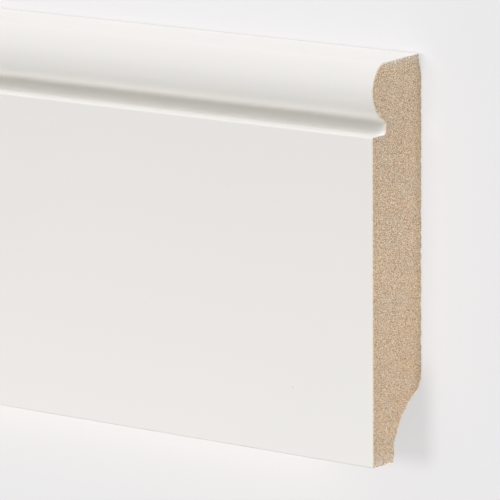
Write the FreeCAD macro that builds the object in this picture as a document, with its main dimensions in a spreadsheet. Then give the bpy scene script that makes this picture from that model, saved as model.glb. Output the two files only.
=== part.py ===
import FreeCAD, Part
import math
import os
import Sketcher

# A skirting board length: one plank of fibreboard with a moulded top and a cove cut
# out of its lower back. It lies on its back, with the moulded face up.
# X runs along the length, Y from the foot to the top, Z out of the back.
# The origin is halfway along and halfway up, in the plane of the back.

# Every size in millimetres. Heights are along the face, depths across the thickness.
sizes = {
    "boardLength": 2400.0,
    "boardHeight": 80.0,
    "boardThickness": 16.0,
    "topFall": 0.6,            # how much lower the top is at the front than at the back
    "noseRadius": 6.4,         # round nose, in line with the front face
    "crownCut": 0.5,           # what the top's level takes off the crown of the nose
    "crownEase": 2.0,          # soft turn from the sloping top into the nose
    "quirkDepth": 4.3,         # from the front face in to the wall of the quirk groove
    "quirkWidth": 2.6,         # height of that wall, from the ledge up to the nose
    "quirkRoot": 1.0,          # hollow turn from under the nose down into the wall
    "quirkCorner": 0.8,        # hollow turn from the wall out onto the ledge
    "ledgeArris": 0.4,         # eased corner where the ledge meets the front face
    "footWidth": 7.0,          # depth of the land that stands on the floor
    "footArris": 0.3,          # eased corners of that land
    "toeHeight": 3.2,          # straight wall behind the land, under the cove
    "reliefHeight": 13.6,      # from the foot up to where the cove runs out on the back
    "coveRadius": 16.0,        # hollow curve of the cove
    "reliefCorner": 4.0,       # soft corner between the cove and the back
    "bevelDepth": 1.0,         # bevel at the top of the back, into the board
    "bevelHeight": 4.6,        # the same bevel, down the back
}

startOf = 1         # points of a side: its start, its end, and an arc's centre
endOf = 2
centreOf = 3
sameCorner = 0.001  # an edge this near to a corner of the section runs through it

doc = FreeCAD.newDocument("SkirtingBoard")
sheet = doc.addObject("Spreadsheet::Sheet", "Sizes")
for row, (alias, value) in enumerate(sizes.items(), start=1):
    sheet.set(f"A{row}", str(value))
    sheet.setAlias(f"A{row}", alias)
doc.recompute()

body = doc.addObject("PartDesign::Body", "SkirtingBoard")
body.Label = "skirting_board"
crossPlane = [plane for plane in body.Origin.OriginFeatures if plane.Role == "YZ_Plane"][0]

# Rules for the places that several outlines share
top = "Sizes.boardHeight"
front = "Sizes.boardThickness"
noseHeight = "(Sizes.boardHeight + Sizes.crownCut - Sizes.noseRadius)"
noseDepth = "(Sizes.boardThickness - Sizes.noseRadius)"
quirkWall = "(Sizes.boardThickness - Sizes.quirkDepth)"
quirkReach = "(Sizes.noseRadius - Sizes.quirkDepth)"
noseFoot = f"({noseHeight} - sqrt(Sizes.noseRadius ^ 2 - {quirkReach} ^ 2))"
ledge = f"({noseFoot} - Sizes.quirkWidth)"
toeWall = "(Sizes.boardThickness - Sizes.footWidth)"
aboveTop = "(Sizes.boardHeight + Sizes.boardThickness)"
beforeFront = "(2 * Sizes.boardThickness)"
behindBack = "(-1 * Sizes.boardThickness)"
underFoot = "(-1 * Sizes.boardThickness)"


def amount(rule):
    # What a rule comes to in millimetres
    return float(body.evalExpression(rule))


def checkedVolume(feature):
    doc.recompute()
    if not feature.isValid() or feature.Shape.isNull():
        raise RuntimeError(f"{feature.Name} wasn't made: {feature.State}")
    return feature.Shape.Volume


def crossSection(name, corners, arcCentre=None):
    # A closed outline in the cross-section, anticlockwise through its corners. Each
    # corner is a height rule and a depth rule. The first side is an arc where its
    # centre is given.
    section = body.newObject("Sketcher::SketchObject", name)
    section.AttachmentSupport = [(crossPlane, "")]
    section.MapMode = "FlatFace"
    section.setExpression(".AttachmentOffset.Base.x", f"-1 * {top} / 2")
    points = [FreeCAD.Vector(amount(high), amount(deep), 0) for high, deep in corners]
    sides = []
    for start, end in zip(points, points[1:] + points[:1]):
        side = Part.LineSegment(start, end)
        if arcCentre and not sides:
            centre = FreeCAD.Vector(arcCentre[0], arcCentre[1], 0)
            circle = Part.Circle(centre, FreeCAD.Vector(0, 0, 1), start.distanceToPoint(centre))
            side = Part.ArcOfCircle(circle, circle.parameter(start), circle.parameter(end))
        sides.append(section.addGeometry(side))
    for side, following in zip(sides, sides[1:] + sides[:1]):
        section.addConstraint(Sketcher.Constraint("Coincident", side, endOf, following, startOf))
    return section, sides


def bindPoint(section, side, point, high=None, deep=None):
    # Ties a side's point to its height rule, its depth rule or both
    for direction, rule in (("DistanceX", high), ("DistanceY", deep)):
        if rule:
            number = section.addConstraint(
                Sketcher.Constraint(direction, side, point, amount(rule)))
            section.setExpression(f"Constraints[{number}]", rule)


def bindRadius(section, side, rule):
    number = section.addConstraint(Sketcher.Constraint("Radius", side, amount(rule)))
    section.setExpression(f"Constraints[{number}]", rule)


def bindCorners(section, sides, corners):
    for side, (high, deep) in zip(sides, corners):
        bindPoint(section, side, startOf, high, deep)


def runCutter(name, section):
    # Cuts an outline out of the board along its whole length
    before = body.Tip.Shape.Volume
    cut = body.newObject("PartDesign::Pocket", name)
    cut.Profile = section
    cut.Type = "ThroughAll"
    cut.SideType = "Symmetric"
    if checkedVolume(cut) >= before:
        raise RuntimeError(f"{name} cut nothing")


def easeCorners(name, radius, corners):
    # Rounds the edges that run along the board through corners of its section
    solid = body.Tip.Shape
    edgeNames = []
    for high, deep in corners:
        corner = FreeCAD.Vector(0, amount(high) - amount(top) / 2, amount(deep))
        for number, edge in enumerate(solid.Edges, start=1):
            middle = edge.CenterOfMass
            along = abs(edge.Vertexes[0].Point.x - edge.Vertexes[-1].Point.x) > sameCorner
            if along and math.hypot(middle.y - corner.y, middle.z - corner.z) < sameCorner:
                edgeNames.append(f"Edge{number}")
    if len(edgeNames) != len(corners):
        raise RuntimeError(f"{name} found {len(edgeNames)} of {len(corners)} edges")
    base = body.Tip
    easing = body.newObject("PartDesign::Fillet", name)
    easing.Base = (base, edgeNames)
    easing.setExpression("Radius", radius)
    if abs(checkedVolume(easing) - base.Shape.Volume) == 0:
        raise RuntimeError(f"{name} eased nothing")


# The plank
plankCorners = [("0", "0"), (top, "0"), (top, front), ("0", front)]
plankSection, plankSides = crossSection("PlankSection", plankCorners)
bindCorners(plankSection, plankSides, plankCorners)
plank = body.newObject("PartDesign::Pad", "Plank")
plank.Profile = plankSection
plank.SideType = "Symmetric"
plank.setExpression("Length", "Sizes.boardLength")
checkedVolume(plank)

# The nose and the quirk groove under it: round from the crown, over the front, to the
# quirk's wall, then down the wall and out along the ledge
mouldingCorners = [
    (f"{noseHeight} + Sizes.noseRadius", noseDepth),
    (noseFoot, quirkWall),
    (ledge, quirkWall),
    (ledge, beforeFront),
    (aboveTop, beforeFront),
    (aboveTop, noseDepth),
]
noseCentre = (amount(noseHeight), amount(noseDepth))
mouldingSection, mouldingSides = crossSection("MouldingSection", mouldingCorners, noseCentre)
noseArc = mouldingSides[0]
bindPoint(mouldingSection, noseArc, centreOf, noseHeight, noseDepth)
bindRadius(mouldingSection, noseArc, "Sizes.noseRadius")
bindPoint(mouldingSection, noseArc, startOf, deep=noseDepth)
bindPoint(mouldingSection, noseArc, endOf, deep=quirkWall)
bindCorners(mouldingSection, mouldingSides[2:], mouldingCorners[2:])
runCutter("Moulding", mouldingSection)

# The sloping top, which starts at the bevel and takes off the crown
slopeCorners = [
    (top, "Sizes.bevelDepth"),
    (aboveTop, "Sizes.bevelDepth"),
    (aboveTop, beforeFront),
    (f"{top} - Sizes.topFall", beforeFront),
    (f"{top} - Sizes.topFall", front),
]
slopeSection, slopeSides = crossSection("SlopeSection", slopeCorners)
bindCorners(slopeSection, slopeSides, slopeCorners)
runCutter("TopSlope", slopeSection)

# The bevel at the top of the back
bevelCorners = [
    (f"{top} - Sizes.bevelHeight", "0"),
    (f"{top} - Sizes.bevelHeight", behindBack),
    (aboveTop, behindBack),
    (aboveTop, "Sizes.bevelDepth"),
    (top, "Sizes.bevelDepth"),
]
bevelSection, bevelSides = crossSection("BevelSection", bevelCorners)
bindCorners(bevelSection, bevelSides, bevelCorners)
runCutter("BackBevel", bevelSection)

# The relief of the lower back: a straight wall behind the land, then a hollow cove
coveCorners = [
    ("Sizes.reliefHeight", "0"),
    ("Sizes.toeHeight", toeWall),
    (underFoot, toeWall),
    (underFoot, behindBack),
    ("Sizes.reliefHeight", behindBack),
]
coveEnd = FreeCAD.Vector(sizes["reliefHeight"], 0, 0)
coveStart = FreeCAD.Vector(sizes["toeHeight"], amount(toeWall), 0)
chord = coveStart - coveEnd
toCentre = math.sqrt(sizes["coveRadius"] ** 2 - chord.Length ** 2 / 4)
coveCentre = (coveStart + coveEnd) / 2 + FreeCAD.Vector(-chord.y, chord.x, 0).normalize() * toCentre
coveSection, coveSides = crossSection("CoveSection", coveCorners, coveCentre)
bindCorners(coveSection, coveSides, coveCorners)
bindRadius(coveSection, coveSides[0], "Sizes.coveRadius")
runCutter("BackRelief", coveSection)

# Where the sloping top meets the round of the nose
fall = "(Sizes.topFall / (Sizes.boardThickness - Sizes.bevelDepth))"
crownLevel = f"({top} - {noseHeight} - {fall} * ({noseDepth} - Sizes.bevelDepth))"
crownRoot = f"sqrt(Sizes.noseRadius ^ 2 * (1 + {fall} ^ 2) - {crownLevel} ^ 2)"
crownReach = f"(({crownLevel} * {fall} + {crownRoot}) / (1 + {fall} ^ 2))"
crownHeight = f"{noseHeight} + {crownLevel} - {fall} * {crownReach}"
crownDepth = f"{noseDepth} + {crownReach}"

easeCorners("CrownEase", "Sizes.crownEase", [(crownHeight, crownDepth)])
easeCorners("QuirkRoot", "Sizes.quirkRoot", [(noseFoot, quirkWall)])
easeCorners("QuirkCorner", "Sizes.quirkCorner", [(ledge, quirkWall)])
easeCorners("LedgeArris", "Sizes.ledgeArris", [(ledge, front)])
easeCorners("FootArrises", "Sizes.footArris", [("0", front), ("0", toeWall)])
easeCorners("ReliefCorner", "Sizes.reliefCorner", [("Sizes.reliefHeight", "0")])

doc.recompute()
for item in doc.Objects:
    if "Invalid" in item.State or "Error" in item.State:
        raise RuntimeError(f"{item.Name} failed: {item.State}")
shape = body.Shape
if shape.isNull() or not shape.isValid() or len(shape.Solids) != 1:
    raise RuntimeError("the board isn't one sound solid")

board = shape.Solids[0]
box = board.BoundBox
balance = board.CenterOfMass
print(f"{body.Label}: {box.XLength:.3f} x {box.YLength:.3f} x {box.ZLength:.3f} mm")
print(f"volume {board.Volume:.0f} mm3, section {board.Volume / box.XLength:.2f} mm2")
print(f"centre of mass {balance.z:.2f} mm out of the back, {balance.y:.2f} mm above mid-height")

os.makedirs("parts", exist_ok=True)
board.exportStep(f"parts/{body.Label}.step")
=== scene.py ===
import math

import bpy
import numpy as np
from mathutils import Matrix, Vector, noise
from mathutils.geometry import delaunay_2d_cdt


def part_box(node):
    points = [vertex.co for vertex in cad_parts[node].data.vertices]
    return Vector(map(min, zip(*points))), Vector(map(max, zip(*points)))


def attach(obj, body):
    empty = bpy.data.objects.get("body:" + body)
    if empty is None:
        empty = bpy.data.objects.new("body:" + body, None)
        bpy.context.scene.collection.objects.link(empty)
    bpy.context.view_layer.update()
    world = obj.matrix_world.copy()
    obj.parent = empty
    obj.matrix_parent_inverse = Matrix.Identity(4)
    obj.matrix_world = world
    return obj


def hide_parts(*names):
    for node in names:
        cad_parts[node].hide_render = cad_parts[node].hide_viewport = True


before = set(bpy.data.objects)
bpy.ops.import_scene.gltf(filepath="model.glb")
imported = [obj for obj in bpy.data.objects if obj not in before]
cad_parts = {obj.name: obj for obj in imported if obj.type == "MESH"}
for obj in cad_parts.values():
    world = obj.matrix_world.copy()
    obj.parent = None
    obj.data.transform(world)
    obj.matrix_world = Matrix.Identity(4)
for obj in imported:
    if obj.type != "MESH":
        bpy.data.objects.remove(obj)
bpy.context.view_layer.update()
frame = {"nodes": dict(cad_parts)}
print("frame loaded with", ", ".join(frame["nodes"]))

# the section and the sawn ends are worked out in millimetres, and everything else in metres
mm = 0.001
boardLow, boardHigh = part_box("skirting_board")
boardLength = (boardHigh.x - boardLow.x) / mm
boardHeight = (boardHigh.y - boardLow.y) / mm
boardThickness = (boardHigh.z - boardLow.z) / mm

# the moulded section, with depth out of the back and height above the foot
section = {
    "topFall": 0.6,         # how much lower the top is at the face than at the bevel
    "noseRadius": 6.4,
    "crownCut": 0.5,        # how far the nose's circle would pass above the top
    "crownEase": 2.0,
    "quirkDepth": 4.3,
    "quirkWidth": 2.6,
    "quirkRoot": 1.0,       # hollow turn from under the nose down into the wall
    "quirkCorner": 0.8,     # hollow turn from the wall out onto the ledge
    "ledgeArris": 0.4,
    "footWidth": 7.0,
    "footArris": 0.3,
    "toeHeight": 3.2,
    "reliefHeight": 13.6,
    "coveRadius": 16.0,
    "reliefCorner": 4.0,
    "bevelDepth": 1.0,
    "bevelHeight": 4.6,
    "backArris": 0.15,      # the sanded corners at both ends of the bevel
    "spacing": 0.3,         # longest step between two points of the outline
    "slack": 0.001,         # a straight run may exceed its steps by this share of one
    "arcStep": 5.0,         # degrees
    "fewestSteps": 3,       # in an arc
}


def pointOn(centre, radius, degrees):
    turn = math.radians(degrees)
    return (centre[0] + radius * math.cos(turn), centre[1] + radius * math.sin(turn))


def angleFrom(centre, point):
    return math.degrees(math.atan2(point[1] - centre[1], point[0] - centre[0]))


def arc(centre, radius, start, end):
    # start and end are in degrees, and end may be the smaller for a hollow corner
    sweep = end - start
    byAngle = abs(sweep) / section["arcStep"]
    byLength = abs(math.radians(sweep)) * radius / section["spacing"]
    steps = max(section["fewestSteps"], math.ceil(byAngle), math.ceil(byLength))
    return [pointOn(centre, radius, start + sweep * i / steps) for i in range(steps + 1)]


def easedCorner(before, corner, after, radius):
    # a small round on a straight corner of solid wood, as an arc
    toBefore = (Vector(before) - Vector(corner)).normalized()
    toAfter = (Vector(after) - Vector(corner)).normalized()
    half = toBefore.angle(toAfter) / 2
    middle = (toBefore + toAfter).normalized()
    centre = Vector(corner) + middle * (radius / math.sin(half))
    run = radius / math.tan(half)
    start = angleFrom(centre, Vector(corner) + toBefore * run)
    end = angleFrom(centre, Vector(corner) + toAfter * run)
    if end < start:
        end += 360.0
    return arc(centre, radius, start, end)


def coveCentre():
    # the centre of the relief's arc, which runs from the toe's head to the back
    low = Vector((boardThickness - section["footWidth"], section["toeHeight"]))
    high = Vector((0.0, section["reliefHeight"]))
    chord = high - low
    across = Vector((-chord.y, chord.x)).normalized()
    rise = math.sqrt(section["coveRadius"] ** 2 - (chord.length / 2) ** 2)
    return (low + high) / 2 + across * rise


def sectionOutline():
    # anticlockwise from the back of the foot, as stretches of one finish each
    s = section
    face = boardThickness
    top = boardHeight
    toe = face - s["footWidth"]
    nose = (face - s["noseRadius"], top + s["crownCut"] - s["noseRadius"])
    wall = face - s["quirkDepth"]
    noseFoot = nose[1] - math.sqrt(s["noseRadius"] ** 2 - (wall - nose[0]) ** 2)
    ledge = noseFoot - s["quirkWidth"]

    rootAxis = wall + s["quirkRoot"]
    rootReach = s["noseRadius"] + s["quirkRoot"]
    quirkTop = (rootAxis, nose[1] - math.sqrt(rootReach ** 2 - (rootAxis - nose[0]) ** 2))
    quirkLow = (wall + s["quirkCorner"], ledge + s["quirkCorner"])
    ledgeEdge = (face - s["ledgeArris"], ledge - s["ledgeArris"])

    slope = s["topFall"] / (face - s["bevelDepth"])
    upright = 90.0 - math.degrees(math.atan(slope))
    topLine = Vector((math.cos(math.radians(upright)), math.sin(math.radians(upright))))
    drop = (Vector(nose) - Vector((s["bevelDepth"], top))).dot(topLine) + s["crownEase"]
    reach = s["noseRadius"] - s["crownEase"]
    along = math.sqrt(reach ** 2 - drop ** 2)
    crown = Vector(nose) - topLine * drop + Vector((topLine.y, -topLine.x)) * along

    cove = coveCentre()
    coveReach = s["coveRadius"] + s["reliefCorner"]
    reliefHeight = cove.y + math.sqrt(coveReach ** 2 - (s["reliefCorner"] - cove.x) ** 2)
    relief = (s["reliefCorner"], reliefHeight)
    coveEnds = angleFrom(cove, relief), angleFrom(cove, (toe, s["toeHeight"]))
    bevelTop = (s["bevelDepth"], top)
    bevelFoot = (0.0, top - s["bevelHeight"])

    return [
        ("bare", arc((toe + s["footArris"], s["footArris"]), s["footArris"], 180, 270)),
        ("white", arc((face - s["footArris"], s["footArris"]), s["footArris"], 270, 360)),
        ("white", arc(ledgeEdge, s["ledgeArris"], 0, 90)),
        ("white", arc(quirkLow, s["quirkCorner"], 270, 180)),
        ("white", arc(quirkTop, s["quirkRoot"], 180, angleFrom(quirkTop, nose))),
        ("white", arc(nose, s["noseRadius"], angleFrom(nose, quirkTop), angleFrom(nose, crown))),
        ("white", arc(crown, s["crownEase"], angleFrom(nose, crown), upright)),
        ("bare", easedCorner((face, top - s["topFall"]), bevelTop, bevelFoot, s["backArris"])),
        ("bare", easedCorner(bevelTop, bevelFoot, (0.0, 0.0), s["backArris"])),
        ("bare", arc(relief, s["reliefCorner"], 180, angleFrom(relief, cove) + 360)),
        ("bare", arc(cove, s["coveRadius"], *coveEnds)),
    ]


def dividedOutline():
    # the stretches joined into one ring of points, with each straight run in short steps
    points, finishes = [], []
    stretches = sectionOutline()
    corners = [(Vector(p), finish) for finish, stretch in stretches for p in stretch]
    for (here, finish), (there, _) in zip(corners, corners[1:] + corners[:1]):
        steps = math.ceil((there - here).length / section["spacing"] - section["slack"])
        for i in range(steps):
            points.append(here.lerp(there, i / steps))
            finishes.append(finish == "white")
    return np.array(points), np.array(finishes)


# how the saw left the ends
cutEnd = {
    "filmThickness": 0.07,    # the white finish, seen edge on
    "filmArris": 0.03,        # how far its cut edge is rounded back
    "filmWear": (0.7, 0.6),   # least share of that, and how much of it comes and goes
    "filmChip": 0.12,         # deepest small chip in it
    "chipGain": 2.5,          # lifts the noise's usual height to that depth
    "chipLength": 0.8,
    "frayReach": 0.24,        # how far the saw's dust discolours the face, on the average
    "frayLength": 0.5,
    "bareArris": 0.06,
    "bareWear": 0.5,          # least share of it
    "bareTear": 0.45,         # deepest tear in the fibreboard's bare edges
    "tearBias": 0.1,          # more of it gives more tears
    "tearLength": 1.1,
    "finePerTear": 3,         # how many times shorter the fine wear is
    "arrisReach": 0.4,        # how far along the board the worn edge runs
    "grain": 0.25,            # spacing of the points on the cut face
    "jitter": 0.3,            # how far they stray from a square grid, as a share of it
    "ringClearance": 0.05,    # they stay this far inside the sawn edge
    "seamDepth": 0.06,        # the line that the saw leaves between finish and fibre
    "seamWidth": 0.14,
    "rimWidth": 0.2,
    "fibreSink": 0.03,
    "fibreDepth": 0.05,
    "fibreLength": 0.45,
    "fibreStretch": (1.6, 1.0),
    "fuzzLength": 0.15,
    "fuzzStretch": (1.0, 0.7),
    "fuzzShare": 0.6,
    "sawRadius": 150.0,
    "sawHeight": 0.2,         # of its centre, as a share of the board's height
    "sawPitch": 1.7,
    "sawWaver": 3,            # radians
    "sawDepth": 0.008,
    "edgeFall": 0.06,         # the fibre's edge breaks away a little towards the bare sides
    "edgeFallWidth": 0.5,
}
fissure = {
    "depth": 0.5,             # a short split that rises from the foot
    "place": 12.65,
    "start": 0.12,
    "height": 1.75,
    "step": 0.12,
    "width": 0.33,
    "wander": 0.12,
    "bends": 1.7,             # how fast it wanders on its way up
    "shade": 0.05,            # painted shade inside the split: how much darker its bottom is made than the fibre
}

# where each random pattern starts, so that other numbers give another board of the same kind
seeds = {
    "wear": {-1: 11.0, 1: 41.0},    # by the side that the end is on
    "chips": 0.37,
    "tears": 7.61,
    "fineWear": 3.19,
    "fray": 41.0,
    "grid": 31,
    "fibres": 3.7,
    "fuzz": 5.0,
    "split": (0.5, 2.3),
}


def outwardNormals(points):
    tangent = np.roll(points, -1, axis=0) - np.roll(points, 1, axis=0)
    tangent /= np.linalg.norm(tangent, axis=1)[:, None]
    return np.column_stack([tangent[:, 1], -tangent[:, 0]])


def roughness2d(points, size, seed):
    # one smooth random value from -1 to 1 for each point of a plane
    return np.array([noise.noise(Vector((p[0] / size, p[1] / size, seed))) for p in points])


def wornEdge(points, white, seed):
    # how far the sawn edge lies inside the outline at each of its points
    c = cutEnd
    chips = np.clip(roughness2d(points, c["chipLength"], seed + seeds["chips"]), 0, 1) ** 2
    tears = roughness2d(points, c["tearLength"], seed + seeds["tears"])
    tears = np.clip(tears + c["tearBias"], 0, 1)
    fineLength = c["tearLength"] / c["finePerTear"]
    fine = np.abs(roughness2d(points, fineLength, seed + seeds["fineWear"]))
    least, spread = c["filmWear"]
    film = c["filmArris"] * (least + spread * fine) + c["filmChip"] * c["chipGain"] * chips
    bare = c["bareArris"] * (c["bareWear"] + fine) + c["bareTear"] * tears
    return np.where(white, film, bare)


def distanceTo(points, starts, ends):
    # the shortest distance from each point to a set of straight pieces
    best = np.full(len(points), np.inf)
    for a, b in zip(starts, ends):
        run = b - a
        share = np.clip(((points - a) @ run) / (run @ run), 0, 1)
        gap = points - a - share[:, None] * run
        best = np.minimum(best, np.einsum("ij,ij->i", gap, gap))
    return np.sqrt(best)


def insideOf(points, outline):
    # even and odd crossings of a line to the right
    inside = np.zeros(len(points), bool)
    for a, b in zip(outline, np.roll(outline, -1, axis=0)):
        if a[1] == b[1]:
            continue
        between = (a[1] > points[:, 1]) != (b[1] > points[:, 1])
        cross = a[0] + (points[:, 1] - a[1]) * (b[0] - a[0]) / (b[1] - a[1])
        inside ^= between & (points[:, 0] < cross)
    return inside


def fissureLine():
    f = fissure
    first, last = seeds["split"]
    heights = np.arange(f["start"], f["height"], f["step"])
    wander = np.array([noise.noise(Vector((first, h * f["bends"], last))) for h in heights])
    return np.column_stack([f["place"] + wander * f["wander"], heights])


def inFissure(points):
    # 1 along the split's bottom and 0 at its sides
    line = fissureLine()
    return np.clip(1 - distanceTo(points, line[:-1], line[1:]) / (fissure["width"] / 2), 0, 1)


def cutFacePoints(outline, normals, ring, seed):
    # points inside the sawn edge: rows that follow it, then a scattered grid, then the fissure
    c = cutEnd
    random = np.random.default_rng(seed)
    film, seam = c["filmThickness"], c["seamWidth"]
    offsets = (film, film + seam / 2, film + seam, film + seam + c["rimWidth"])
    rows = [outline - normals * offset for offset in offsets]
    low, high = outline.min(0), outline.max(0)
    grid = np.mgrid[low[0]:high[0]:c["grain"], low[1]:high[1]:c["grain"]].reshape(2, -1).T
    grid = grid + random.uniform(-c["jitter"], c["jitter"], grid.shape) * c["grain"]

    # a row folds over itself in a hollow corner, and its points that come too close are dropped
    slack = film / 5
    closest = [np.full(len(outline), offset - slack) for offset in offsets]
    closest.append(np.full(len(grid), offsets[-1] + c["grain"] / 2))
    points = np.vstack(rows + [grid])
    toOutline = distanceTo(points, outline, np.roll(outline, -1, axis=0))
    points = points[insideOf(points, ring) & (toOutline >= np.concatenate(closest))]
    points = points[distanceTo(points, ring, np.roll(ring, -1, axis=0)) > c["ringClearance"]]

    line = fissureLine()
    clear = distanceTo(points, line[:-1], line[1:]) > fissure["width"]
    side = np.array([fissure["width"] / 2, 0.0])
    return np.vstack([points[clear], line, line - side, line + side])


def cutFaceSink(points, toFilm, toBare, seed):
    # how far each point of the sawn face lies below the true end plane
    c = cutEnd
    fibres = roughness2d(points * c["fibreStretch"], c["fibreLength"], seed)
    fuzz = roughness2d(points * c["fuzzStretch"], c["fuzzLength"], seed + seeds["fuzz"])
    sawCentre = np.array([boardThickness / 2 + c["sawRadius"], boardHeight * c["sawHeight"]])
    sweep = np.linalg.norm(points - sawCentre, axis=1)
    saw = 1 + np.sin(2 * np.pi * sweep / c["sawPitch"] + c["sawWaver"] * fibres)
    rough = c["fibreDepth"] * (0.5 + 0.5 * fibres + c["fuzzShare"] * np.abs(fuzz))
    sink = c["fibreSink"] + rough + c["sawDepth"] * saw
    beyondFilm = np.clip((toFilm - c["filmThickness"]) / c["seamWidth"], 0, 1)
    seam = c["seamDepth"] * np.sin(np.pi * beyondFilm) ** 2
    sink = np.where(toFilm > c["filmThickness"], sink * beyondFilm + seam, 0.0)
    sink += c["edgeFall"] * np.clip(1 - toBare / c["edgeFallWidth"], 0, 1)
    return np.maximum(sink, fissure["depth"] * inFissure(points))


# how the fibre's colour changes across the sawn face, each as red, green and blue shares
fibreTones = {
    "seam": (1.08, 1.20, 1.38),         # greyed by the finish that soaked into it
    "seamReach": 0.5,                   # this far in, its change has faded out
    "crown": (1.14, 1.22, 1.33),
    "crownReach": 1.9,
    "noseCore": (0.94, 0.95, 0.97),     # a little darker behind the quirk, fading both ways
    "noseCoreBelowTop": 10.0,
    "noseCoreReach": 26.0,
    "coveCore": (1.0, 0.975, 0.955),    # a little warmer over the cove, likewise
    "coveCoreHeight": 18.0,
    "coveCoreReach": 18.0,
    "faceSkin": (0.93, 0.94, 0.94),     # the pressed skins at the face and the back are denser
    "faceSkinReach": 2.2,
    "backSkin": (0.86, 0.86, 0.83),
    "backSkinReach": 2.8,
    "bevel": (0.92, 0.98, 1.02),
    "bevelReach": 3.0,
    "bevelStart": 1.0,                  # how far below the bevel it begins
    "coveRim": (1.04, 1.16, 1.30),      # pale fibres that the cove's cutter lifted
    "coveRimReach": 0.6,
    "toeRim": (0.92, 1.03, 1.14),
    "toeRimReach": 1.6,
    "toeRimHeight": 1.6,                # in heights of the toe
    "landRim": (1.16, 1.22, 1.34),
    "landRimReach": 2.6,
}


def cutFaceTonesAndCrackShade(points, toFilm):
    # the fibre's own tones across the sawn face, times painted shade along the split's bottom
    t = fibreTones
    s = section
    tones = np.ones((len(points), 3))
    depth, height = points[:, 0], points[:, 1]
    toe = boardThickness - s["footWidth"]
    toCove = np.linalg.norm(points - np.array(coveCentre()), axis=1) - s["coveRadius"]
    inCove = (height > s["toeHeight"]) & (height < s["reliefHeight"])
    bevelFoot = boardHeight - s["bevelHeight"]
    slant = math.hypot(s["bevelDepth"], s["bevelHeight"])
    toBevel = (depth * s["bevelHeight"] + (bevelFoot - height) * s["bevelDepth"]) / slant
    fall = s["topFall"] * (depth - s["bevelDepth"]) / (boardThickness - s["bevelDepth"])
    behindFilm = np.maximum(toFilm - cutEnd["filmThickness"], 0.0)
    gaps = {
        "seam": behindFilm,
        "faceSkin": behindFilm,
        "crown": boardHeight - fall - height,
        "noseCore": np.abs(boardHeight - t["noseCoreBelowTop"] - height),
        "coveCore": np.abs(t["coveCoreHeight"] - height),
        "backSkin": np.where(height > s["reliefHeight"], depth, np.inf),
        "bevel": np.where(height > bevelFoot - t["bevelStart"], toBevel, np.inf),
        "coveRim": np.where(inCove, toCove, np.inf),
        "toeRim": np.where(height < s["toeHeight"] * t["toeRimHeight"], depth - toe, np.inf),
        "landRim": height,
    }
    for zone, gap in gaps.items():
        share = np.clip(1 - gap / t[zone + "Reach"], 0, 1)[:, None]
        tones *= 1 + (np.array(t[zone]) - 1) * share
    # painted shade: the split's bottom is darkened in colour, as the shade inside it would look
    return tones * (1 + (fissure["shade"] - 1) * inFissure(points))[:, None]


# the rings of points along the board
rings = {
    "arris": (0.0, 0.12, 0.24, 0.36, 0.5, 0.7, 1.0),   # in the worn edge, as shares of its reach
    "firstStep": 2,                    # beyond it, in reaches
    "growth": 1.7,                     # each step is this many times the one before
    "growUntil": 100.0,
    "middleStep": 150.0,
}


def ringStations():
    # places of the rings along the board, close together at the sawn ends
    reach = cutEnd["arrisReach"]
    near = [share * reach for share in rings["arris"]]
    step = reach * rings["firstStep"]
    while near[-1] < rings["growUntil"]:
        near.append(near[-1] + step)
        step *= rings["growth"]
    start = [d - boardLength / 2 for d in near]
    run = boardLength - 2 * near[-1]
    steps = math.ceil(run / rings["middleStep"])
    middle = [start[-1] + run * i / steps for i in range(1, steps)]
    return start + middle + [-x for x in reversed(start)]


# the board's finishes, in the order that their materials are added
finishNumber = {"satinWhite": 0, "milledFibreboard": 1, "sawnFibreboard": 2, "finishCutEdge": 3}

# where the sides and the sawn ends lie on the square that the finishes are baked on
bakeMap = {
    "name": "OFBake",
    "margin": 0.01,           # clear border, as a share of the square
    "sidesHigh": 0.55,        # the rest goes to the ends, which have the finest grain
}


def placeOnSides(x, share):
    # a place on the map for a point along the board and round its section
    m = bakeMap["margin"]
    across = m + (1 - 2 * m) * (x / boardLength + 0.5)
    return across, m + bakeMap["sidesHigh"] * share


def placeOnEnd(side, point):
    # a place on the map for a point of a sawn end, which lies along the square's width
    m = bakeMap["margin"]
    scale = (1 - 2 * m) / boardHeight
    low = bakeMap["sidesHigh"] + 2 * m
    if side > 0:
        low += boardThickness * scale + m
    return m + point[1] * scale, low + point[0] * scale


def addSides(made, outline, white, worn):
    # rings of points from end to end, and the faces between them
    count = len(outline)
    normals = outwardNormals(outline)
    follow = np.roll(outline, -1, axis=0)
    travelled = np.append(0.0, np.cumsum(np.linalg.norm(follow - outline, axis=1)))
    shares = travelled / travelled[-1]
    fray = 1 + roughness2d(outline, cutEnd["frayLength"], seeds["fray"])
    fray *= cutEnd["frayReach"]
    stations = ringStations()

    for x in stations:
        side = 1 if x > 0 else -1
        fromEnd = boardLength / 2 - abs(x)
        left = max(0.0, 1 - fromEnd / cutEnd["arrisReach"])
        ring = outline - normals * (worn[side] * left ** 2)[:, None]
        made["vertices"] += [(x, v - boardHeight / 2, u) for u, v in ring]
    for row, (here, there) in enumerate(zip(stations, stations[1:])):
        fromEnd = boardLength / 2 - abs(here + there) / 2
        for i in range(count):
            a, b = row * count + i, row * count + (i + 1) % count
            made["faces"].append((a, b, b + count, a + count))
            made["places"] += [placeOnSides(here, shares[i]), placeOnSides(here, shares[i + 1])]
            made["places"] += [placeOnSides(there, shares[i + 1]), placeOnSides(there, shares[i])]
            finish = "finishCutEdge" if fromEnd < fray[i] else "satinWhite"
            made["finishes"].append(finishNumber[finish if white[i] else "milledFibreboard"])
    made["tones"] = [(1.0, 1.0, 1.0)] * len(made["vertices"])


triangulation = {
    "insideOnly": 1,          # keeps the triangles inside the sawn edge
    "sameWithin": 1e-6,
}


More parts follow.
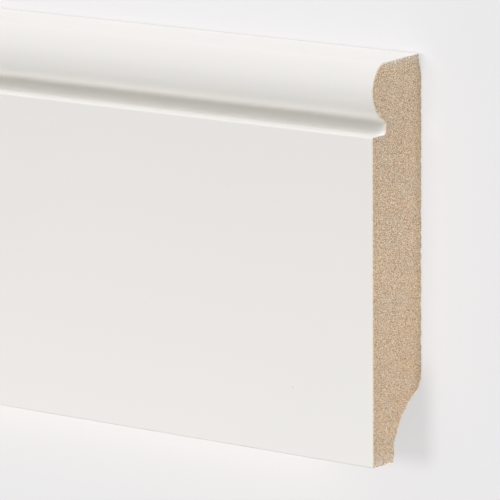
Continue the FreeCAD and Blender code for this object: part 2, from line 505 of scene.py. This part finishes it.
def addCutFace(made, side, firstRing, outline, white, worn):
    # one sawn end, from the ring that it is joined to
    count = len(outline)
    normals = outwardNormals(outline)
    follow = np.roll(outline, -1, axis=0)
    ring = outline - normals * worn[side][:, None]
    inner = cutFacePoints(outline, normals, ring, seeds["grid"] + side)
    points = [Vector(p) for p in np.vstack([ring, inner])]
    insideOnly, sameWithin = triangulation["insideOnly"], triangulation["sameWithin"]
    joined = delaunay_2d_cdt(points, [], [list(range(count))], insideOnly, sameWithin)
    flat, triangles, sources = np.array([tuple(p) for p in joined[0]]), joined[2], joined[3]
    toFilm = distanceTo(flat, outline[white], follow[white])
    toBare = distanceTo(flat, outline[~white], follow[~white])
    sink = cutFaceSink(flat, toFilm, toBare, seeds["fibres"] * side)
    tones = cutFaceTonesAndCrackShade(flat, toFilm)

    index = {}
    for k in sorted(set(k for triangle in triangles for k in triangle)):
        onRing = [source for source in sources[k] if source < count]
        if onRing:
            index[k] = firstRing + onRing[0]
            made["tones"][index[k]] = tuple(tones[k])
        else:
            index[k] = len(made["vertices"])
            u, v = flat[k]
            made["vertices"].append((side * (boardLength / 2 - sink[k]), v - boardHeight / 2, u))
            made["tones"].append(tuple(tones[k]))
    for triangle in triangles:
        inFilm = toFilm[triangle].mean() < cutEnd["filmThickness"]
        turned = triangle if side < 0 else triangle[::-1]
        made["faces"].append([index[k] for k in turned])
        made["places"] += [placeOnEnd(side, flat[k]) for k in turned]
        made["finishes"].append(finishNumber["finishCutEdge" if inFilm else "sawnFibreboard"])
    print("cut face with", len(triangles), "triangles")


sharpFrom = 38.0    # degrees between two faces, above which their edge isn't shaded smooth


def buildBoard():
    outline, white = dividedOutline()
    worn = {side: wornEdge(outline, white, seed) for side, seed in seeds["wear"].items()}
    made = {"vertices": [], "faces": [], "finishes": [], "places": []}
    addSides(made, outline, white, worn)
    lastRing = len(made["vertices"]) - len(outline)
    for side, firstRing in ((-1, 0), (1, lastRing)):
        addCutFace(made, side, firstRing, outline, white, worn)

    mesh = bpy.data.meshes.new("mouldedBoard")
    mesh.from_pydata([tuple(c * mm for c in v) for v in made["vertices"]], [], made["faces"])
    mesh.polygons.foreach_set("material_index", made["finishes"])
    # each point's fibre tone, with painted shade along the split's bottom
    fibreToneAndCrackShade = mesh.color_attributes.new("fibreToneAndCrackShade", "FLOAT_COLOR", "POINT")
    fibreToneAndCrackShade.data.foreach_set("color", [c for tone in made["tones"] for c in (*tone, 1.0)])
    bakePlaces = mesh.uv_layers.new(name=bakeMap["name"])
    bakePlaces.uv.foreach_set("vector", [c for place in made["places"] for c in place])
    mesh.shade_smooth()
    mesh.set_sharp_from_angle(angle=math.radians(sharpFrom))
    mesh.validate(verbose=True)
    board = bpy.data.objects.new("moulded_board", mesh)
    bpy.context.scene.collection.objects.link(board)
    return board


def addNode(material, kind, values=None, **settings):
    node = material.node_tree.nodes.new(kind)
    for name, value in settings.items():
        setattr(node, name, value)
    for name, value in (values or {}).items():
        node.inputs[name].default_value = value
    return node


def join(material, source, output, target, socket):
    material.node_tree.links.new(source.outputs[output], target.inputs[socket])


def startMaterial(name, values):
    # a material with its shader, and the board's own coordinates in metres
    material = bpy.data.materials.new(name)
    material.use_nodes = True
    shader = material.node_tree.nodes["Principled BSDF"]
    for socket, value in values.items():
        shader.inputs[socket].default_value = value
    place = addNode(material, "ShaderNodeTexCoord")
    return material, shader, place


noiseTurn = (0.35, 0.62, 0.87)    # radians, so that no flat face lies along the noise's own layers
noiseMiddle = 0.5
noiseSpan = (0.3, 0.7)            # a noise seldom leaves these values
patchSpan = (0.35, 0.65)          # closer, for patches that are mostly one colour or the other


def addNoise(material, place, size, detail=2.0, roughness=0.5, stretch=(1, 1, 1)):
    # smooth noise whose patches are about the given size in metres
    mapping = addNode(material, "ShaderNodeMapping", {"Scale": stretch, "Rotation": noiseTurn})
    grain = {"Scale": 1 / size, "Detail": detail, "Roughness": roughness}
    texture = addNode(material, "ShaderNodeTexNoise", grain)
    join(material, place, "Object", mapping, "Vector")
    join(material, mapping, "Vector", texture, "Vector")
    return texture


def addRamp(material, source, positions, colours):
    # a colour for each position in the noise, blended between them
    ramp = addNode(material, "ShaderNodeValToRGB")
    elements = ramp.color_ramp.elements
    while len(elements) < len(positions):
        elements.new(noiseMiddle)
    for element, position, colour in zip(elements, positions, colours):
        element.position = position
        element.color = (*colour, 1.0)
    join(material, source, "Fac", ramp, "Fac")
    return ramp


def addSpread(material, source, output, values, span=noiseSpan):
    # goes from the first value to the second while the source goes through its span
    spread = addNode(material, "ShaderNodeMapRange", {
        "From Min": span[0], "From Max": span[1], "To Min": values[0], "To Max": values[1]})
    join(material, source, output, spread, "Value")
    return spread


mixColour = {"first": 6, "second": 7, "result": 2}    # places of a Mix node's colour sockets


def colourOf(node):
    # the result that holds a node's colour or shade
    return mixColour["result"] if node.bl_idname == "ShaderNodeMix" else 0


def addColourTimes(material, first, second):
    settings = {"data_type": "RGBA", "blend_type": "MULTIPLY"}
    times = addNode(material, "ShaderNodeMix", {"Factor": 1.0}, **settings)
    join(material, first, colourOf(first), times, mixColour["first"])
    join(material, second, colourOf(second), times, mixColour["second"])
    return times


def addBump(material, shader, height, depth, strength=1.0):
    bump = addNode(material, "ShaderNodeBump", {"Strength": strength, "Distance": depth})
    join(material, height, "Fac", bump, "Height")
    join(material, bump, "Normal", shader, "Normal")


def addLines(material, place, size, length, detail):
    # noise drawn out into fine lines along the board
    stretch = (size / length, 1, 1)
    return addNoise(material, place, size, detail=detail, roughness=0.6, stretch=stretch)


whiteFinish = {
    "warmer": (0.886, 0.869, 0.834),
    "cooler": (0.876, 0.861, 0.829),
    "patchSize": 45 * mm,
    "roughness": (0.34, 0.44),
    "ior": 1.46,
    "streakSize": 1.2 * mm,   # lines that the coating machine left along the board
    "streakLength": 90 * mm,
    "peelSize": 1.1 * mm,     # the faint orange peel of a sprayed finish
    "peelDepth": 0.004 * mm,
    "speckPlace": (1180.3 * mm, -26.3 * mm, 16.0 * mm),
    "speckSize": 0.26 * mm,   # one dark speck in the finish, near the cut end
    "speckShade": 0.62,
    "speckEdge": (0.6, 1.2),  # where it starts to fade and ends, as shares of half its size
}


def makeWhiteFinish():
    w = whiteFinish
    material, shader, place = startMaterial("satinWhite", {"IOR": w["ior"]})
    patches = addNoise(material, place, w["patchSize"], detail=3.0)
    colour = addRamp(material, patches, patchSpan, (w["cooler"], w["warmer"]))
    toSpeck = addNode(material, "ShaderNodeVectorMath", {1: w["speckPlace"]}, operation="DISTANCE")
    join(material, place, "Object", toSpeck, 0)
    speckSpan = [w["speckSize"] / 2 * share for share in w["speckEdge"]]
    speck = addSpread(material, toSpeck, "Value", (w["speckShade"], 1.0), speckSpan)
    coloured = addColourTimes(material, colour, speck)
    join(material, coloured, colourOf(coloured), shader, "Base Color")
    streaks = addLines(material, place, w["streakSize"], w["streakLength"], detail=4.0)
    gloss = addSpread(material, streaks, "Fac", w["roughness"])
    join(material, gloss, "Result", shader, "Roughness")
    peel = addNoise(material, place, w["peelSize"], detail=1.0)
    addBump(material, shader, peel, w["peelDepth"])
    return material


fibreboard = {
    "dark": (0.388, 0.248, 0.145),
    "middle": (0.720, 0.551, 0.388),
    "light": (0.922, 0.766, 0.577),
    "fleckSize": 0.2 * mm,
    "clumpSize": 0.7 * mm,
    "clumpShade": (0.95, 1.05),
    "blotchSize": 5.0 * mm,
    "warmBlotch": (1.02, 1.0, 0.97),
    "coolBlotch": (0.98, 1.0, 1.03),
    "roughness": (0.82, 0.95),
    "shine": {"Specular IOR Level": 0.25},
}


def addFibreColour(material, place, reach, stretch):
    # flecks of single fibres, clumps of them and broad blotches, all multiplied
    f = fibreboard
    flecks = addNoise(material, place, f["fleckSize"], roughness=0.6, stretch=stretch)
    positions = (noiseMiddle - reach, noiseMiddle, noiseMiddle + reach)
    colour = addRamp(material, flecks, positions, (f["dark"], f["middle"], f["light"]))
    clumps = addNoise(material, place, f["clumpSize"])
    shade = addSpread(material, clumps, "Fac", f["clumpShade"])
    blotches = addNoise(material, place, f["blotchSize"])
    blotch = addRamp(material, blotches, patchSpan, (f["coolBlotch"], f["warmBlotch"]))
    clumped = addColourTimes(material, colour, shade)
    return flecks, clumps, addColourTimes(material, clumped, blotch)


sawnEnds = {
    "fleckReach": 0.065,               # noise this far from its middle is darkest or lightest
    "fleckStretch": (1, 1.3, 1),
    "depth": 0.05 * mm,
}


def makeSawnFibreboard():
    s = sawnEnds
    material, shader, place = startMaterial("sawnFibreboard", fibreboard["shine"])
    flecks, clumps, colour = addFibreColour(material, place, s["fleckReach"], s["fleckStretch"])
    # the fibre's tones per point, with painted shade in the split
    edges = addNode(material, "ShaderNodeAttribute", attribute_name="fibreToneAndCrackShade")
    toned = addColourTimes(material, colour, edges)
    join(material, toned, colourOf(toned), shader, "Base Color")
    gloss = addSpread(material, clumps, "Fac", fibreboard["roughness"])
    join(material, gloss, "Result", shader, "Roughness")
    addBump(material, shader, flecks, s["depth"], strength=0.6)
    return material


milledFaces = {
    "fleckReach": 0.26,                # the cutters smooth the fibres, so their flecks are paler
    "fleckStretch": (0.25, 1, 1),
    "knifePitch": 1.7 * mm,            # between the marks of the turning cutter
    "knifeWaver": 0.6,
    "knifeShade": (0.95, 1.02),
    "knifeDepth": 0.012 * mm,
    "sandingSize": 0.5 * mm,           # lines that the sander drew along the board
    "sandingLength": 40 * mm,
    "sandingShade": (0.94, 1.05),
}


def makeMilledFibreboard():
    m = milledFaces
    material, shader, place = startMaterial("milledFibreboard", fibreboard["shine"])
    _, clumps, colour = addFibreColour(material, place, m["fleckReach"], m["fleckStretch"])
    waveScale = math.pi / 10 / m["knifePitch"]    # a wave of scale 1 repeats after pi / 10 metres
    knives = addNode(material, "ShaderNodeTexWave", {
        "Scale": waveScale, "Distortion": m["knifeWaver"], "Detail": 1.0})
    join(material, place, "Object", knives, "Vector")
    knifeShade = addSpread(material, knives, "Fac", m["knifeShade"], (0.0, 1.0))
    marked = addColourTimes(material, colour, knifeShade)
    sanding = addLines(material, place, m["sandingSize"], m["sandingLength"], detail=3.0)
    sandingShade = addSpread(material, sanding, "Fac", m["sandingShade"])
    sanded = addColourTimes(material, marked, sandingShade)
    join(material, sanded, colourOf(sanded), shader, "Base Color")
    gloss = addSpread(material, clumps, "Fac", fibreboard["roughness"])
    join(material, gloss, "Result", shader, "Roughness")
    addBump(material, shader, knives, m["knifeDepth"], strength=0.6)
    return material


filmEdge = {
    "creamier": (0.88, 0.72, 0.57),
    "whiter": (0.90, 0.77, 0.64),
    "patchSize": 0.5 * mm,
    "roughness": 0.6,
    "chipDepth": 0.02 * mm,
}


def makeFilmEdge():
    e = filmEdge
    material, shader, place = startMaterial("finishCutEdge", {"Roughness": e["roughness"]})
    patches = addNoise(material, place, e["patchSize"])
    colour = addRamp(material, patches, noiseSpan, (e["creamier"], e["whiter"]))
    join(material, colour, "Color", shader, "Base Color")
    addBump(material, shader, patches, e["chipDepth"], strength=0.5)
    return material


studio = {
    "floorSide": 400.0,             # metres, so that the floor fills every view
    "floorDrop": 0.02 * mm,
    "floorColour": (0.66, 0.651, 0.647),
    "seenColour": (0.302, 0.300, 0.305),   # of the floor when it is looked at, with its own glow
    "seenGlow": (0.590, 0.585, 0.593),
    "worldColour": (1.0, 0.988, 0.925),
    "worldStrength": 0.359,
    "backdropSeen": (0.855, 0.839, 0.839),
}
keyLamp = {
    "from": (0.40, 0.80, 0.445),    # over the top of the board, low and a little towards the cut end
    "colour": (0.95, 0.95, 1.0),
    "strength": 2.28,
    "softness": 30.0,               # degrees across
}
floorLamp = {
    "from": (-0.15, 0.12, 1.0),     # high, so that the shadow lies close to the board and in its cove
    "colour": (1.0, 1.0, 1.0),
    "strength": 1.4,
    "softness": 16.0,
}
fillStrip = {
    "elevation": 46.0,              # degrees above the floor, on the side of the foot
    "distance": 0.32,               # metres from the middle of the face
    "length": 6.0,
    "width": 0.2,
    "colour": (0.97, 0.97, 1.0),
    "power": 4.3,
}
footStrip = {
    "elevation": 90.0,              # straight above the floor
    "distance": 10 * mm,
    "beforeFoot": 2 * mm,
    "length": 2.36,                 # a little shorter than the board
    "width": 4 * mm,
    "colour": (1.0, 0.94, 0.77),
    "power": 0.058,
}
topStrip = {
    "elevation": 90.0,
    "distance": 0.8 * mm,
    "beyondTop": 0.3 * mm,          # thin and close, so that no dark line parts the top from the floor
    "length": 2.4,
    "width": 0.4 * mm,
    "colour": (1.0, 0.98, 0.98),
    "power": 0.0032,
}
endStrip = {
    "elevation": 90.0,
    "distance": 2.5 * mm,
    "beyondEnd": 0.7 * mm,          # it clears the shadow beside the cut end, but not beside the foot
    "aboveMiddle": 9 * mm,
    "length": 1.2 * mm,
    "width": 62 * mm,
    "colour": (1.0, 0.99, 0.98),
    "power": 0.0003,
}


def lookedAt(tree):
    # 1 for what the camera sees, also by way of a shine or through glass
    path = tree.nodes.new("ShaderNodeLightPath")
    seen = path.outputs["Is Camera Ray"]
    for other in ("Is Glossy Ray", "Is Transmission Ray"):
        either = tree.nodes.new("ShaderNodeMath")
        either.operation = "MAXIMUM"
        tree.links.new(seen, either.inputs[0])
        tree.links.new(path.outputs[other], either.inputs[1])
        seen = either.outputs[0]
    return seen


def addSeenMix(tree, plain, seen, output):
    # one shader for the light that bounces, and another for what is looked at
    mix = tree.nodes.new("ShaderNodeMixShader")
    tree.links.new(lookedAt(tree), mix.inputs[0])
    tree.links.new(plain.outputs[0], mix.inputs[1])
    tree.links.new(seen.outputs[0], mix.inputs[2])
    tree.links.new(mix.outputs[0], tree.nodes[output].inputs["Surface"])


def makeFloorMaterial():
    material = bpy.data.materials.new("paleFloor")
    material.use_nodes = True
    tree = material.node_tree
    lit = tree.nodes["Principled BSDF"]
    seen = tree.nodes.new("ShaderNodeBsdfPrincipled")
    for shader, colour in ((lit, studio["floorColour"]), (seen, studio["seenColour"])):
        shader.inputs["Base Color"].default_value = (*colour, 1.0)
        shader.inputs["Roughness"].default_value = 1.0
        shader.inputs["Specular IOR Level"].default_value = 0.0
    seen.inputs["Emission Color"].default_value = (*studio["seenGlow"], 1.0)
    seen.inputs["Emission Strength"].default_value = 1.0
    addSeenMix(tree, lit, seen, "Material Output")
    return material


def addFloor():
    half = studio["floorSide"] / 2
    mesh = bpy.data.meshes.new("floor")
    corners = [(-half, -half), (half, -half), (half, half), (-half, half)]
    mesh.from_pydata([(x, y, -studio["floorDrop"]) for x, y in corners], [], [(0, 1, 2, 3)])
    mesh.materials.append(makeFloorMaterial())
    floor = bpy.data.objects.new("floor", mesh)
    bpy.context.scene.collection.objects.link(floor)
    return floor


def addWorld():
    world = bpy.data.worlds.new("paleStudio")
    bpy.context.scene.world = world
    world.use_nodes = True
    tree = world.node_tree
    light = tree.nodes["Background"]
    light.inputs["Color"].default_value = (*studio["worldColour"], 1.0)
    light.inputs["Strength"].default_value = studio["worldStrength"]
    seen = tree.nodes.new("ShaderNodeBackground")
    seen.inputs["Color"].default_value = (*studio["backdropSeen"], 1.0)
    addSeenMix(tree, light, seen, "World Output")


def addLamp(name, light, lit):
    # each lamp lights one thing, so that those of the board leave no pool or long shade on the floor
    lamp = bpy.data.objects.new(name, light)
    bpy.context.scene.collection.objects.link(lamp)
    chosen = bpy.data.collections.new(name + "Lights")
    chosen.objects.link(lit)
    lamp.light_linking.receiver_collection = chosen
    return lamp


def addSun(name, values, lit):
    light = bpy.data.lights.new(name, "SUN")
    light.color = values["colour"]
    light.energy = values["strength"]
    light.angle = math.radians(values["softness"])
    lamp = addLamp(name, light, lit)
    lamp.rotation_mode = "QUATERNION"
    lamp.rotation_quaternion = Vector(values["from"]).to_track_quat("Z", "Y")


def addStrip(name, values, lit, aim):
    # a flat lamp that faces its aim, with its length along the board
    light = bpy.data.lights.new(name, "AREA")
    light.shape = "RECTANGLE"
    light.size = values["length"]
    light.size_y = values["width"]
    light.color = values["colour"]
    light.energy = values["power"]
    lamp = addLamp(name, light, lit)
    rise = math.radians(values["elevation"])
    away = Vector((0.0, -math.cos(rise), math.sin(rise)))
    lamp.matrix_world = Matrix.Rotation(math.pi / 2 - rise, 4, "X")
    lamp.location = Vector(aim) + away * values["distance"]
    lamp.visible_camera = False


# where the photograph was taken from, with the foot's front corner at the cut end as the mark
photograph = {
    "side": 500,                 # pixels
    "focalLength": 5064.6,       # pixels
    "turn": 37.905,              # degrees round the board's height, towards the cut end
    "tilt": 10.900,              # degrees down from straight on
    "roll": -0.378,
    "distance": 987.35 * mm,     # to the mark, along the line of sight
    "markAcross": 373.31,        # pixels from the left
    "markDown": 468.91,          # pixels from the top
    "nearest": 0.05,             # metres that the camera sees from, and to
    "farthest": 500.0,
}


def addCamera():
    p = photograph
    turn = Matrix.Rotation(math.radians(p["turn"]), 3, "Y")
    tilt = Matrix.Rotation(math.radians(-p["tilt"]), 3, "X")
    roll = Matrix.Rotation(math.radians(p["roll"]), 3, "Z")
    facing = turn @ tilt @ roll
    right = (p["markAcross"] - p["side"] / 2) / p["focalLength"]
    down = (p["markDown"] - p["side"] / 2) / p["focalLength"]
    mark = Vector((boardHigh.x, boardLow.y, boardHigh.z))
    data = bpy.data.cameras.new("camera")
    data.lens = p["focalLength"] / p["side"] * data.sensor_width
    data.clip_start = p["nearest"]
    data.clip_end = p["farthest"]
    camera = bpy.data.objects.new("camera", data)
    camera.matrix_world = facing.to_4x4()
    camera.location = mark - facing @ Vector((right, -down, -1.0)) * p["distance"]
    bpy.context.scene.collection.objects.link(camera)
    bpy.context.scene.camera = camera
    print("camera at", [round(c, 5) for c in camera.location])


addCamera()
addWorld()
floor = addFloor()
beforeFoot = (0.0, boardLow.y - footStrip["beforeFoot"], 0.0)
beyondTop = (0.0, boardHigh.y + topStrip["beyondTop"], 0.0)
beyondEnd = (boardHigh.x + endStrip["beyondEnd"], endStrip["aboveMiddle"], 0.0)
addSun("floorLamp", floorLamp, floor)
addStrip("footStrip", footStrip, floor, beforeFoot)
addStrip("topStrip", topStrip, floor, beyondTop)
addStrip("endStrip", endStrip, floor, beyondEnd)
bpy.context.scene.view_settings.view_transform = "Standard"
print("camera and floor ready")

board = buildBoard()
addSun("keyLamp", keyLamp, board)
addStrip("fillStrip", fillStrip, board, (0.0, 0.0, boardHigh.z))
for finish in (makeWhiteFinish(), makeMilledFibreboard(), makeSawnFibreboard(), makeFilmEdge()):
    board.data.materials.append(finish)
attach(board, "root")
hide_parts("skirting_board")
print("board built with", len(board.data.polygons), "faces")
